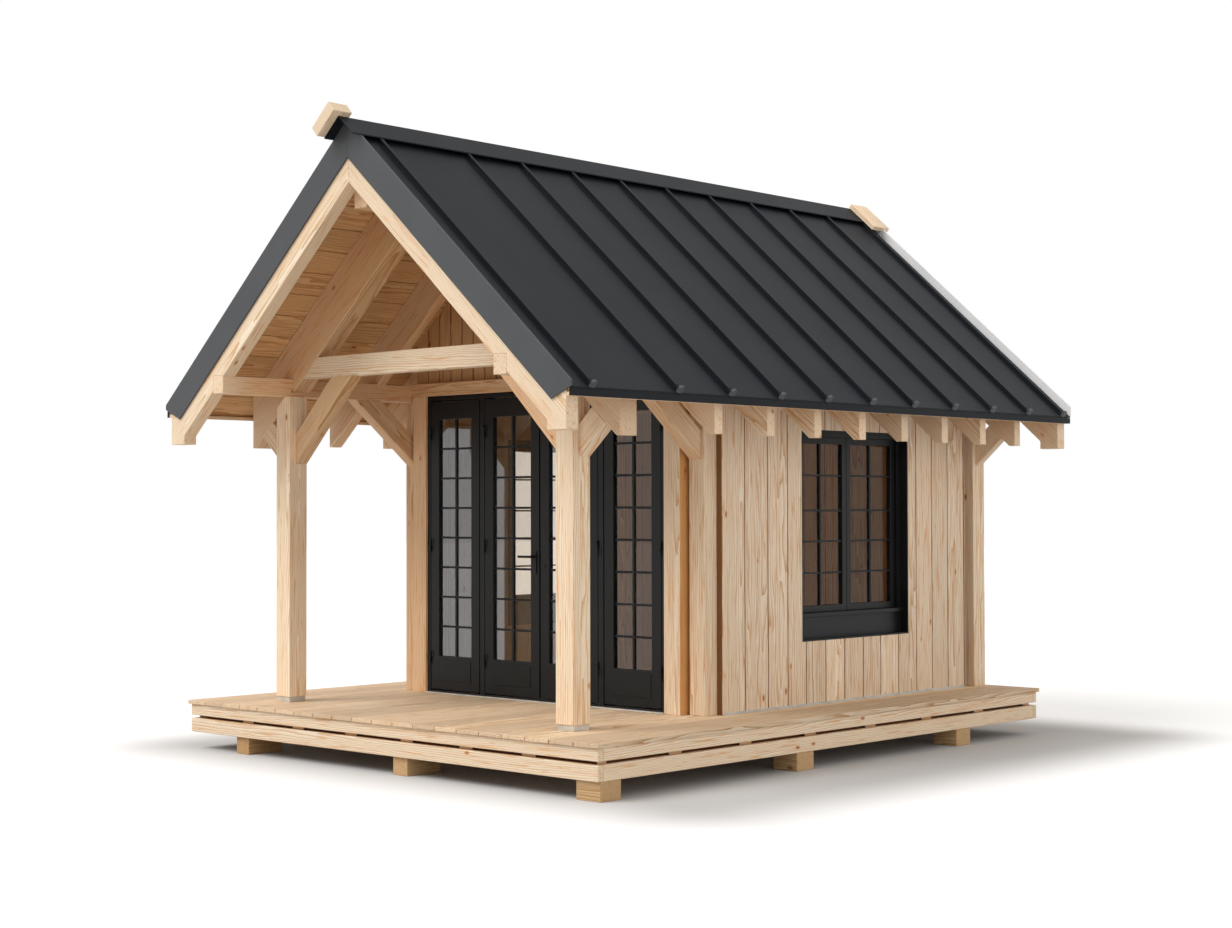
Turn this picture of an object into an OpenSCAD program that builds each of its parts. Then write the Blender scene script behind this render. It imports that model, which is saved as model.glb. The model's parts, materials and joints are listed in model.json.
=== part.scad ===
// Garden shed on a timber deck: a clad cabin with glazed doors behind an open porch,
// under a steep standing-seam roof carried by a braced timber frame.
// Millimetres, +Z up, porch towards -Y, origin on the ground under the middle of the roof.

/* [Deck] */
// Width of the deck
deck_w = 3796; // [3700:2:4200]
// Reach of the deck ahead of the porch posts
deck_front_reach = 339; // [250:1:480]
// Reach of the deck behind the rear posts
deck_rear_reach = 22; // [12:1:180]
// Height of the deck's walking surface
deck_top = 323; // [290:1:400]
// Thickness of the deck boards
deck_board_t = 25; // [18:1:32]
// Overhang of the deck boards past the rim
deck_nosing = 16; // [5:1:25]
// Height of the upper rim and its joists
upper_rim_h = 74; // [60:1:90]
// Height of the lower rim and its bearers
lower_rim_h = 91; // [70:1:105]
// Open gap between the two rims
rim_gap = 20; // [12:1:28]
// Thickness of rim boards, joists and bearers
rim_t = 45; // [38:1:60]
// Number of joists inside the upper rim
joist_count = 9; // [5:1:12]
// Number of spacers along each side rim
spacer_count = 8; // [4:1:10]
// Length of a spacer block
spacer_l = 110; // [80:5:140]

/* [Feet] */
// Width of a foot block
foot_w = 130; // [100:5:180]
// Depth of a foot block, front to back
foot_d = 270; // [200:5:320]
// Width of the blocks along the right side
right_foot_w = 184; // [130:2:200]
// Depth of the blocks along the right side
right_foot_d = 167; // [130:1:220]
// Middle of the left feet from the deck's left rim
foot_left_inset = 536; // [300:1:700]
// Spacing of the rows of feet from front to back
foot_pitch_y = 1740; // [1600:5:1800]
// Setback of the feet from the rims above them
foot_setback = 25; // [10:1:60]

/* [Posts] */
// Section of the porch posts and rear posts
post_w = 143; // [120:1:150]
// Setback of the porch posts' outer faces from the corner posts'
post_inset = 7; // [0:1:60]
// Section of the cabin's front corner posts
corner_w = 122; // [100:1:140]
// Front face of the corner posts, ahead of the middle of the roof
corner_front = 930; // [900:1:960]
// Outer face of the rear posts beyond the corner posts'
rear_post_proud = 76; // [50:1:90]
// Height of the metal shoe under a porch post
shoe_h = 35; // [20:1:50]
// Inset of the shoe from the post's faces
shoe_inset = 6; // [2:1:12]

/* [Roof] */
// Half width of the roof over its metal
roof_half_w = 1884; // [1860:1:1890]
// Half length of the roof over its verge flashings
roof_half_l = 2610; // [2560:1:2700]
// Overhang of the eaves past the corner posts
eave_overhang = 495; // [440:1:560]
// Overhang of the front verge past the porch posts
front_overhang = 532; // [450:1:620]
// Overhang of the rear verge past the rear wall's inner face
rear_overhang = 740; // [700:1:800]
// Metal's top face at the eaves, below the head of the door opening
eave_drop = 124; // [90:1:150]
// Rise of the roof from the eaves to the ridge
roof_rise = 1662; // [1550:1:1750]
// Thickness of the metal roofing
metal_t = 8; // [4:1:10]
// Thickness of the roof boards
roof_board_t = 28; // [20:1:34]
// Setback of the roof boards' lower edge from the metal's
board_setback = 24; // [15:1:40]
// Height of the eaves trim
eaves_trim_h = 40; // [30:1:60]
// Height of a standing seam
seam_h = 26; // [18:1:34]
// Width of a standing seam
seam_w = 22; // [14:1:28]
// Seams on each slope
seam_count = 11; // [7:1:13]
// First seam from the verge at the front
seam_first = 150; // [120:5:220]
// Second seam from the first: the wide bay over the porch
seam_wide = 720; // [600:5:800]
// Last seam from the verge at the rear
seam_last = 110; // [100:5:220]
// Wing of the ridge cap, level width on each side
cap_wing = 132; // [100:1:150]
// Thickness of the ridge cap
cap_t = 6; // [4:1:10]
// Depth of the verge flashing across the slope
verge_d = 150; // [120:1:165]
// Thickness of the verge flashing
verge_t = 12; // [8:1:16]

/* [Roof frame] */
// Depth of a rafter
rafter_d = 225; // [190:1:240]
// Thickness of a gable rafter
rafter_t = 95; // [80:1:110]
// Thickness of the common rafters and the rear truss
common_t = 72; // [60:1:85]
// Setback of the rafter tails from the eaves
tail_setback = 94; // [80:1:130]
// Level cut under the rafter tails, below the eaves
tail_drop = 223; // [205:1:240]
// Depth of a porch rafter
porch_rafter_d = 286; // [240:1:300]
// Thickness of a porch rafter
porch_rafter_t = 143; // [110:1:150]
// Setback of the porch rafters' tails from the eaves
porch_tail_setback = 179; // [150:1:200]
// Level cut under the porch rafters' tails, below the eaves
porch_tail_drop = 247; // [220:1:260]
// Setback of the gable rafters' tails from the eaves
gable_tail_setback = 48; // [40:1:70]
// Width of the dropped block at the foot of a gable rafter
gable_block_w = 146; // [120:1:160]
// Level underside of the dropped block, below the eaves
gable_block_drop = 233; // [215:1:260]
// Width of the ridge beam
ridge_beam_w = 120; // [100:1:140]
// Underside of the ridge beam below the ridge
ridge_beam_drop = 495; // [450:1:520]
// Width of a wall plate
plate_w = 105; // [95:1:110]
// Height of a wall plate
plate_h = 115; // [95:1:130]
// Setback of the porch rafters, tie and braces behind the posts' front faces
truss_setback = 48; // [20:1:48]
// Underside of the tie beam above the wall plates' underside
tie_rise = 114; // [95:1:140]
// Depth of the tie beam
tie_d = 135; // [110:1:160]
// Depth of a brace
brace_d = 140; // [110:1:150]
// Thickness of a brace
brace_t = 95; // [80:1:110]
// Slope of the braces under the tie
tie_brace_angle = 44.5; // [42:0.5:48]
// Slope of the braces under the wall plates
plate_brace_angle = 39; // [36:1:45]
// Slope of the outward struts under the rafter tails
strut_angle = 42; // [38:1:45]
// Foot of the braces on the posts, below the wall plates
brace_foot = 450; // [420:1:480]

/* [Walls] */
// Outer face of the side walls' boarding beyond the corner posts'
board_proud = 47; // [30:1:60]
// Thickness of the side walls
side_wall_t = 135; // [130:1:145]
// Thickness of the front gable wall
front_wall_t = 122; // [100:1:122]
// Thickness of the rear wall
rear_wall_t = 90; // [70:1:95]

/* [Windows] */
// Width of a window opening
window_w = 1194; // [1000:2:1260]
// Head of the window opening below the head of the door opening
window_head_drop = 274; // [230:1:400]
// Sill of the window opening above the deck
window_sill = 413; // [380:1:500]
// Middle of the windows, behind the middle of the roof
window_y = 588; // [500:1:650]
// Recess of the window frame behind the boarding
window_recess = 65; // [50:1:70]
// Thickness of the dark lining round the recess
lining_t = 10; // [6:1:14]
// Width of the window frame's members
window_frame_w = 40; // [30:1:60]
// Depth of the window frame
window_frame_d = 60; // [54:1:64]
// Height of the panel below the sashes
apron_h = 152; // [120:1:190]
// Width of a sash's stiles and rails
sash_w = 46; // [40:1:70]
// Thickness of a sash
sash_t = 40; // [34:1:44]

/* [Doors] */
// Width of the casings beside the door opening
jamb_casing_w = 157; // [120:1:200]
// Height of the door opening above the deck
door_h = 2064; // [2000:1:2080]
// Front face of the timber casings ahead of the corner posts'
casing_proud = 62; // [50:1:80]
// Height of the casing over the doors
head_casing_h = 90; // [70:1:110]
// Width of the door frame's jambs and head
door_jamb = 32; // [28:1:45]
// Width of the posts between the inner and outer leaves
door_mullion = 44; // [40:1:60]
// Height of the threshold
threshold_h = 20; // [12:1:30]
// Depth of the door frame
door_frame_d = 90; // [85:1:110]
// Setback of the door frame behind the casings
door_setback = 18; // [17:1:30]
// Thickness of a leaf
leaf_t = 44; // [38:1:50]
// Width of a leaf's stiles
stile_w = 80; // [70:1:95]
// Height of a leaf's bottom rail
bottom_rail_h = 232; // [180:1:260]
// Height of a leaf's top rail
top_rail_h = 125; // [90:1:140]
// Running gap round a leaf
leaf_gap = 8; // [8:0.5:10]
// Gap on a leaf's hinged side
hinge_gap = 6; // [6:0.5:8]
// Width of the stop behind a leaf
stop_w = 14; // [12:1:20]
// Radius of a hinge barrel
knuckle_r = 7; // [5:0.5:7.5]
// Length of each half of a hinge barrel
knuckle_l = 45; // [35:1:60]
// Height of the lever above the deck
lever_z = 960; // [900:10:1050]
// Length of the lever
lever_l = 118; // [100:1:130]

/* [Glass] */
// Thickness of the glazing
glass_t = 8; // [6:1:12]

/* [Hidden] */
$fn = 48;

// Overrun of every cut past the faces that it opens
over = 10;

pine = "BurlyWood";
dark_metal = "#34383c";
verge_grey = "#6a6d70";
pale_grey = "#c9c9c6";
black_paint = "#1d1f20";
glass_tint = "#8fa3ab";

// Plan, from the eaves and verges inwards
corner_out = roof_half_w - eave_overhang;
corner_in = corner_out - corner_w;
corner_back = -corner_front + corner_w;
post_out = corner_out - post_inset;
post_front = roof_half_l - front_overhang;
rear_post_out = corner_out + rear_post_proud;
wall_out = corner_out + board_proud;
wall_in = wall_out - side_wall_t;
wall_front = corner_back;
wall_rear = roof_half_l - rear_overhang;
rear_post_front = wall_rear + rear_wall_t;
casing_front = corner_front + casing_proud;
casing_back = corner_back;
door_half = corner_in - jamb_casing_w;
deck_front = post_front + deck_front_reach;
deck_rear = rear_post_front + post_w + deck_rear_reach;

// Deck levels, from the ground up
upper_rim_z = deck_top - deck_board_t - upper_rim_h;
lower_rim_z = upper_rim_z - rim_gap - lower_rim_h;
rim_half_w = deck_w / 2 - deck_nosing;
rim_front = deck_front - deck_nosing;
rim_rear = deck_rear - deck_nosing;

// Columns of feet, counted from the right, and rows by their front faces
foot_right_x = rim_half_w - right_foot_w / 2 - foot_setback / 4;
foot_pitch_x = (foot_right_x + rim_half_w - foot_left_inset) / 2;
foot_front_y = -rim_front + foot_setback;

// Roof planes: a plane lies some drop below the metal's top face, square to the slope
door_top = deck_top + door_h;
eave_z = door_top - eave_drop;
ridge_z = eave_z + roof_rise;
pitch = atan2(roof_rise, roof_half_w);
function plane_z(x, drop = 0) = ridge_z - x * tan(pitch) - drop / cos(pitch);
function plane_x(z, drop = 0) = (ridge_z - z - drop / cos(pitch)) / tan(pitch);

rafter_drop = metal_t + roof_board_t;
under_drop = rafter_drop + rafter_d;
porch_drop = rafter_drop + porch_rafter_d;
beam_half = ridge_beam_w / 2;
beam_z = ridge_z - ridge_beam_drop;
roof_end = roof_half_l - verge_t;
board_out = roof_half_w - board_setback;

// Wall plates stand on the posts, with the rafters notched over them
plate_z = plane_z(corner_out, under_drop);
plate_top = plate_z + plate_h;
plate_out = corner_in + plate_w;
seat_clear = 0.3;

// Trusses along the roof, as the front face of each pair of rafters
truss_front = -post_front + truss_setback;
rear_truss_front = rear_post_front + (post_w - common_t) / 2;
wall_truss_share = 0.322;
wall_truss_front = -corner_front - (post_front - corner_front) * wall_truss_share;
common_first = corner_back + common_t / 24;
common_last = wall_rear - common_t * 4.45;
common_count = 6;
common_pitch = (common_last - common_first) / (common_count - 1);
common_fronts = concat([wall_truss_front], [for (i = [0 : common_count - 1]) common_first + i * common_pitch]);

// Seams: one near each verge, one beyond the wide bay, the rest even between them
seam_start = -roof_end + seam_first;
seam_next = seam_start + seam_wide;
seam_end = roof_end - seam_last;
seam_pitch = (seam_end - seam_next) / (seam_count - 2);
seam_places = concat([seam_start], [for (i = [0 : seam_count - 2]) seam_next + i * seam_pitch]);

// Walls and windows
head_top = door_top + head_casing_h;
window_z = deck_top + window_sill;
window_top = door_top - window_head_drop;
window_sill_t = 26;
window_sill_out = 22;
sash_gap = 3;
sash_z = window_z + apron_h + window_sill_t;
sash_top = window_top - window_frame_w;
window_frame_out = wall_out - window_recess;
window_frame_in = window_frame_out - window_frame_d;
sash_out = window_frame_in + sash_t;
sash_in = window_y - window_w / 2 + window_frame_w;
sash_half_w = (window_w - sash_gap) / 2 - window_frame_w;

// Door frame and leaves
frame_front = -casing_front + door_setback;
frame_back = frame_front + door_frame_d;
leaf_back = frame_front + leaf_t;
stop_front = leaf_back + leaf_gap;
mullion_x = door_half / 2;
leaf_z = deck_top + threshold_h + leaf_gap;
leaf_top = door_top - door_jamb - leaf_gap;
knuckle_clear = 0.5;
axis_y = frame_front - knuckle_r - knuckle_clear;
outer_axis = door_half - door_jamb - hinge_gap / 2;
inner_axis = mullion_x - door_mullion / 2 - hinge_gap / 2;
outer_leaf_w = outer_axis - hinge_gap / 2 - mullion_x - door_mullion / 2 - leaf_gap;
inner_leaf_w = inner_axis - hinge_gap / 2 - leaf_gap * 3 / 4;
hinge_count = 3;
hinge_first_share = 0.11;
hinge_last_share = 0.89;
flap_w = 26;
flap_t = 3;

// Lever furniture
rose_w = 34;
rose_h = 150;
rose_t = 6;
lever_r = 8;
lever_reach = 48;

// Saddle boards across the ridge: a thick short one in front, a thin long one at the rear
saddle_clear = 1;
front_saddle_w = 145;
front_saddle_l = 210;
front_saddle_t = 77;
front_saddle_over = 35;
front_saddle_proud = 125;
rear_saddle_w = 200;
rear_saddle_l = 300;
rear_saddle_t = 36;
rear_saddle_over = 10;
rear_saddle_proud = 70;

// Upstands of the verges over the metal, the cap's reach past the front verge, the joint between slopes and the cut-back foot
cap_rise = seam_h + cap_t;
cap_reach = 68;
front_upstand = seam_h - seat_clear;
rear_upstand = 55;
verge_joint = 1;
verge_tip = 1.02 * verge_d;

// A profile drawn as (x, z), taken from y0 to y1
module along_y(y0, y1) {
    translate([0, y1, 0]) rotate([90, 0, 0]) linear_extrude(y1 - y0) children();
}

// A profile drawn as (y, z), taken from x0 to x1
module along_x(x0, x1) {
    translate([x0, 0, 0]) rotate([90, 0, 90]) linear_extrude(x1 - x0) children();
}

module block(low, high) {
    translate(low) cube(high - low);
}

module both_sides() {
    children();
    mirror([1, 0, 0]) children();
}

// A rectangular ring lying level between two heights
module rim_ring(z0, z1) {
    difference() {
        block([-rim_half_w, -rim_front, z0], [rim_half_w, rim_rear, z1]);
        block([-rim_half_w + rim_t, -rim_front + rim_t, z0 - over],
              [rim_half_w - rim_t, rim_rear - rim_t, z1 + over]);
    }
}

module foot_blocks() color(pine) {
    for (i = [0 : 2], j = [0 : 2]) {
        w = i == 0 ? right_foot_w : foot_w;
        d = i == 0 ? right_foot_d : foot_d;
        x = foot_right_x - i * foot_pitch_x;
        y = foot_front_y + j * foot_pitch_y;
        block([x - w / 2, y, 0], [x + w / 2, y + d, lower_rim_z]);
    }
}

module lower_rim() color(pine) {
    rim_ring(lower_rim_z, lower_rim_z + lower_rim_h);
    for (i = [1, 2]) {
        x = foot_right_x - i * foot_pitch_x;
        block([x - rim_t / 2, -rim_front + rim_t / 2, lower_rim_z],
              [x + rim_t / 2, rim_rear - rim_t / 2, lower_rim_z + lower_rim_h]);
    }
}

module rim_spacers() color(pine) {
    z0 = lower_rim_z + lower_rim_h;
    length = rim_front + rim_rear - spacer_l;
    width = rim_half_w * 2 - spacer_l;
    for (i = [0 : spacer_count - 1]) {
        y = -rim_front + spacer_l / 2 + i * length / (spacer_count - 1);
        for (side = [-1, 1]) {
            x = side * (rim_half_w - rim_t / 2);
            block([x - rim_t / 2, y - spacer_l / 2, z0], [x + rim_t / 2, y + spacer_l / 2, upper_rim_z]);
        }
    }
    for (i = [1 : spacer_count - 2]) {
        x = -rim_half_w + spacer_l / 2 + i * width / (spacer_count - 1);
        for (y = [-rim_front + rim_t / 2, rim_rear - rim_t / 2])
            block([x - spacer_l / 2, y - rim_t / 2, z0], [x + spacer_l / 2, y + rim_t / 2, upper_rim_z]);
    }
}

module upper_rim() color(pine) {
    rim_ring(upper_rim_z, upper_rim_z + upper_rim_h);
    for (i = [1 : joist_count]) {
        y = -rim_front + i * (rim_front + rim_rear) / (joist_count + 1);
        block([-rim_half_w + rim_t / 2, y - rim_t / 2, upper_rim_z],
              [rim_half_w - rim_t / 2, y + rim_t / 2, upper_rim_z + upper_rim_h]);
    }
}

module deck() color(pine) {
    block([-deck_w / 2, -deck_front, deck_top - deck_board_t], [deck_w / 2, deck_rear, deck_top]);
}

module post_shoes() color(pale_grey) both_sides() {
    block([post_out - post_w + shoe_inset, -post_front + shoe_inset, deck_top],
          [post_out - shoe_inset, -post_front + post_w - shoe_inset, deck_top + shoe_h]);
}

// A post from a foot height up to the plate, its head cut under the rafter that passes over it
module post_profile(out, foot_z, drop) {
    polygon([
        [out - post_w, foot_z], [out, foot_z],
        [out, plane_z(out, drop) - seat_clear],
        [plane_x(plate_z, drop) - seat_clear, plate_z],
        [out - post_w, plate_z]
    ]);
}

module porch_posts() color(pine) both_sides() along_y(-post_front, -post_front + post_w)
    post_profile(post_out, deck_top + shoe_h, porch_drop);

module front_corner_posts() color(pine) both_sides() {
    block([corner_in, -corner_front, deck_top], [corner_out, corner_back, plate_z]);
}

module rear_posts() color(pine) both_sides() along_y(rear_post_front, rear_post_front + post_w)
    post_profile(rear_post_out, deck_top, under_drop);

module wall_plates() color(pine) both_sides() {
    block([corner_in, -roof_end, plate_z], [plate_out, roof_end, plate_top]);
}

module tie_beam() color(pine) {
    z0 = plate_z + tie_rise;
    z1 = z0 + tie_d;
    along_y(truss_front, truss_front + rafter_t) polygon([
        [seat_clear - plane_x(z0, porch_drop), z0], [plane_x(z0, porch_drop) - seat_clear, z0],
        [plane_x(z1, porch_drop) - seat_clear, z1], [seat_clear - plane_x(z1, porch_drop), z1]
    ]);
}

// A sloping timber that rises from a post's face at distance 0, cut by the level line at z_end
module brace_profile(z_foot, z_end, angle) {
    up = brace_d / cos(angle);
    run = (z_end - z_foot) / tan(angle);
    short_run = (z_end - z_foot - up) / tan(angle);
    polygon([[0, z_foot], [run, z_end], [short_run, z_end], [0, z_foot + up]]);
}

module tie_braces() color(pine) both_sides() {
    translate([post_out - post_w, 0, 0]) mirror([1, 0, 0]) along_y(truss_front, truss_front + brace_t)
        brace_profile(plate_z - brace_foot, plate_z + tie_rise, tie_brace_angle);
}

module plate_braces() color(pine) both_sides() {
    x = corner_in + (plate_w - brace_t) / 2;
    translate([0, -corner_front, 0]) mirror([0, 1, 0]) along_x(x, x + brace_t)
        brace_profile(plate_z - brace_foot, plate_z, plate_brace_angle);
}

// A strut from a post's outer face up to the underside of the rafter above it
module strut_profile(face, drop) {
    seat = drop + seat_clear;
    z_foot = plate_z - brace_foot;
    z_head = z_foot + brace_d / cos(strut_angle);
    rise = tan(strut_angle) + tan(pitch);
    low = face + (plane_z(face, seat) - z_foot) / rise;
    high = face + (plane_z(face, seat) - z_head) / rise;
    polygon([
        [face, z_foot], [low, plane_z(low, seat)],
        [high, plane_z(high, seat)], [face, z_head]
    ]);
}

module outward_struts() color(pine) both_sides() {
    along_y(truss_front, truss_front + brace_t) strut_profile(post_out, porch_drop);
    along_y(rear_truss_front, rear_truss_front + common_t) strut_profile(rear_post_out, under_drop);
}

// Half a pair of rafters: plumb at the ridge, notched round the plate, level under the tail
module rafter_profile(head, out, low_z, low_in, drop, top = rafter_drop) {
    difference() {
        polygon([
            [head, plane_z(head, top)],
            [out, plane_z(out, top)],
            [out, low_z],
            [low_in, low_z],
            [low_in, plane_z(low_in, drop)],
            [head, plane_z(head, drop)]
        ]);
        polygon([
            [corner_in, plate_top], [plate_out, plate_top],
            [plate_out, plate_z], [corner_in, plate_z]
        ]);
    }
}

module rafter_pair(front) {
    low_z = eave_z - tail_drop;
    both_sides() along_y(front, front + common_t)
        rafter_profile(beam_half, roof_half_w - tail_setback, low_z, plane_x(low_z, under_drop), under_drop);
}

// Gable rafters meet each other past the ends of the ridge beam
module gable_rafter_pair(front) {
    out = roof_half_w - gable_tail_setback;
    both_sides() along_y(front, front + rafter_t)
        rafter_profile(verge_joint / 2, out, eave_z - gable_block_drop, out - gable_block_w, under_drop,
            rafter_drop + seat_clear);
}

module front_gable_rafters() color(pine) gable_rafter_pair(-roof_end);

module porch_rafters() color(pine) both_sides() {
    low_z = eave_z - porch_tail_drop;
    along_y(truss_front, truss_front + porch_rafter_t)
        rafter_profile(beam_half, roof_half_w - porch_tail_setback, low_z, plane_x(low_z, porch_drop), porch_drop);
}

module common_rafters() color(pine) for (front = common_fronts) rafter_pair(front);

module rear_truss_rafters() color(pine) rafter_pair(rear_truss_front);

module rear_gable_rafters() color(pine) gable_rafter_pair(roof_end - rafter_t);

module ridge_beam() color(pine) along_y(-roof_end + rafter_t, roof_end - rafter_t) polygon([
    [-beam_half, beam_z], [beam_half, beam_z],
    [beam_half, plane_z(beam_half, rafter_drop)],
    [0, plane_z(0, rafter_drop)],
    [-beam_half, plane_z(beam_half, rafter_drop)]
]);

module roof_boards() color(pine) along_y(-roof_end, roof_end) polygon([
    [0, plane_z(0, metal_t)], [board_out, plane_z(board_out, metal_t)],
    [board_out, plane_z(board_out, rafter_drop)], [0, plane_z(0, rafter_drop)]
]);

module roof_boards_right() roof_boards();

module roof_boards_left() mirror([1, 0, 0]) roof_boards();

module roof_metal() color(dark_metal) {
    along_y(-roof_end, roof_end) polygon([
        [0, plane_z(0)], [roof_half_w, plane_z(roof_half_w)],
        [roof_half_w, plane_z(roof_half_w, metal_t)], [0, plane_z(0, metal_t)]
    ]);
    for (y = seam_places) along_y(y - seam_w / 2, y + seam_w / 2) polygon([
        [seam_h, plane_z(seam_h, metal_t / 2)], [seam_h, plane_z(seam_h, -seam_h)],
        [roof_half_w - seam_h / 2, plane_z(roof_half_w - seam_h / 2, -seam_h)],
        [roof_half_w, plane_z(roof_half_w, -seam_h / 2)],
        [roof_half_w, plane_z(roof_half_w, metal_t / 2)]
    ]);
}

module roof_metal_right() roof_metal();

module roof_metal_left() mirror([1, 0, 0]) roof_metal();

module ridge_cap() color(dark_metal) along_y(-roof_half_l - cap_reach, roof_end) polygon([
    [-cap_wing, plane_z(cap_wing, -seam_h)], [0, plane_z(0, -seam_h)], [cap_wing, plane_z(cap_wing, -seam_h)],
    [cap_wing, plane_z(cap_wing, -cap_rise)], [0, plane_z(0, -cap_rise)],
    [-cap_wing, plane_z(cap_wing, -cap_rise)]
]);

// Flashing on one slope of a gable: plumb at the ridge joint and the tip, cut back under the tip
module verge_profile(upstand) {
    joint = verge_joint / 2;
    polygon([
        [joint, plane_z(joint, -upstand)], [roof_half_w, plane_z(roof_half_w, -upstand)], [roof_half_w, eave_z],
        [roof_half_w - verge_tip, plane_z(roof_half_w - verge_tip, verge_d)], [joint, plane_z(joint, verge_d)]
    ]);
}

module front_verge_flashing() color(verge_grey) both_sides()
    along_y(-roof_half_l, -roof_end) verge_profile(front_upstand);

module rear_verge_flashing() color(pale_grey) both_sides()
    along_y(roof_end, roof_half_l) verge_profile(rear_upstand);

module eaves_trim() color(dark_metal) both_sides() {
    block([board_out, -roof_end, plane_z(roof_half_w, metal_t) - eaves_trim_h],
          [roof_half_w, roof_end, plane_z(roof_half_w, metal_t)]);
}

// A short board lying on the ridge cap's wing, past the verge at +Y
module saddle_board(length, wide, thick, past_ridge, proud) {
    end = roof_half_l + proud;
    block([-past_ridge, end - wide, 0], [length - past_ridge, end, thick]);
}

module on_cap() translate([0, 0, plane_z(0, -cap_rise - seat_clear)]) rotate([0, pitch, 0]) children();

// The rear board is grooved over its verge's upstand
module ridge_saddle_boards() color(pine) {
    rotate([0, 0, 180]) on_cap()
        saddle_board(front_saddle_l, front_saddle_w, front_saddle_t, front_saddle_over, front_saddle_proud);
    on_cap() difference() {
        saddle_board(rear_saddle_l, rear_saddle_w, rear_saddle_t, rear_saddle_over, rear_saddle_proud);
        block([-rear_saddle_over - over, roof_end - saddle_clear, -over],
              [rear_saddle_l, roof_half_l + saddle_clear, rear_upstand - cap_rise + saddle_clear]);
    }
}

module front_wall_right() color(pine) {
    block([door_half, -casing_front, deck_top], [corner_in, casing_back, door_top]);
}

module front_wall_left() mirror([1, 0, 0]) front_wall_right();

module door_head_casing() color(pine) {
    block([-corner_in, -casing_front, door_top], [corner_in, casing_back, head_top]);
}

// Boards closing a gable on a row of base points, under the roof boards and round the ridge beam
module gable_profile(base) {
    polygon(concat(base, [
        [corner_in, plane_z(corner_in, rafter_drop)],
        [beam_half, plane_z(beam_half, rafter_drop)], [beam_half, beam_z],
        [-beam_half, beam_z], [-beam_half, plane_z(beam_half, rafter_drop)],
        [-corner_in, plane_z(corner_in, rafter_drop)]
    ]));
}

module front_gable_wall() color(pine) along_y(corner_back - front_wall_t, corner_back)
    gable_profile([[-corner_in, head_top], [corner_in, head_top]]);

module rear_wall() color(pine) along_y(wall_rear, rear_post_front) gable_profile([
    [-corner_in, plate_z], [-corner_out, plate_z], [-corner_out, deck_top],
    [corner_out, deck_top], [corner_out, plate_z], [corner_in, plate_z]
]);

// Side wall: inside under the plate, outside up to the underside of the rafters
module side_wall() color(pine) difference() {
    along_y(wall_front, wall_rear) polygon([
        [wall_in, deck_top], [wall_out, deck_top],
        [wall_out, plane_z(wall_out, under_drop) - seat_clear],
        [plane_x(plate_z, under_drop) - seat_clear, plate_z], [wall_in, plate_z]
    ]);
    block([wall_in - over, window_y - window_w / 2, window_z],
          [wall_out + over, window_y + window_w / 2, window_top]);
}

module right_wall() side_wall();

module left_wall() mirror([1, 0, 0]) side_wall();

// A rectangle drawn as (y, z) about the middle of the window
module window_rect(inset, low, high) {
    translate([window_y - window_w / 2 + inset, low]) square([window_w - inset * 2, high - low]);
}

module window_frame() {
    along_x(window_frame_in, wall_out) difference() {
        window_rect(0, window_z, window_top);
        window_rect(lining_t, window_z + lining_t, window_top - lining_t);
    }
    along_x(window_frame_in, window_frame_out) difference() {
        window_rect(0, window_z, window_top);
        window_rect(window_frame_w, sash_z, sash_top);
    }
    along_x(window_frame_in, window_frame_out + window_sill_out)
        window_rect(lining_t / 2, sash_z - window_sill_t, sash_z);
}

module window_frames() color(black_paint) both_sides() window_frame();

module sash(y) {
    along_x(sash_out - sash_t, sash_out) difference() {
        translate([y, sash_z]) square([sash_half_w, sash_top - sash_z]);
        translate([y + sash_w, sash_z + sash_w]) square([sash_half_w - sash_w * 2, sash_top - sash_z - sash_w * 2]);
    }
}

module window_sashes() color(black_paint) both_sides() {
    sash(sash_in);
    sash(sash_in + sash_half_w + sash_gap);
}

module window_glass() color(glass_tint) both_sides() for (i = [0, 1]) {
    y = sash_in + i * (sash_half_w + sash_gap) + sash_w;
    x = sash_out - sash_t / 2;
    block([x - glass_t / 2, y, sash_z + sash_w], [x + glass_t / 2, y + sash_half_w - sash_w * 2, sash_top - sash_w]);
}

// Heights of the hinges on a leaf
function hinge_z(i) = leaf_z + (leaf_top - leaf_z)
    * (hinge_first_share + i * (hinge_last_share - hinge_first_share) / (hinge_count - 1));

// One half of a hinge: a barrel with its flap, on the +X side of the axis
module hinge_half(z) {
    translate([0, axis_y, z]) cylinder(h = knuckle_l, r = knuckle_r);
    block([0, axis_y, z], [hinge_gap / 2 + knuckle_r, frame_front - flap_t, z + knuckle_l]);
    block([hinge_gap / 2, frame_front - flap_t, z], [hinge_gap / 2 + flap_w, frame_front, z + knuckle_l]);
}

// The frame's halves, below the leaf's
module frame_hinges(axis_x) translate([axis_x, 0, 0])
    for (i = [0 : hinge_count - 1]) hinge_half(hinge_z(i) - knuckle_l - knuckle_clear);

// The frame with its three bays, each narrowed on both sides by the width of a stop
module frame_profile(stop) difference() {
    bay_z = deck_top + threshold_h;
    bay_h = door_h - threshold_h - door_jamb;
    inner = mullion_x - door_mullion / 2 - stop;
    outer_in = mullion_x + door_mullion / 2 + stop;
    outer_out = door_half - door_jamb - stop;
    translate([-door_half, deck_top]) square([door_half * 2, door_h]);
    translate([-inner, bay_z]) square([inner * 2, bay_h]);
    translate([outer_in, bay_z]) square([outer_out - outer_in, bay_h]);
    translate([-outer_out, bay_z]) square([outer_out - outer_in, bay_h]);
}

module door_frame() color(black_paint) {
    along_y(frame_front, frame_back) frame_profile(0);
    along_y(stop_front, frame_back) frame_profile(stop_w);
    both_sides() {
        frame_hinges(outer_axis);
        frame_hinges(inner_axis);
    }
}

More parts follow.
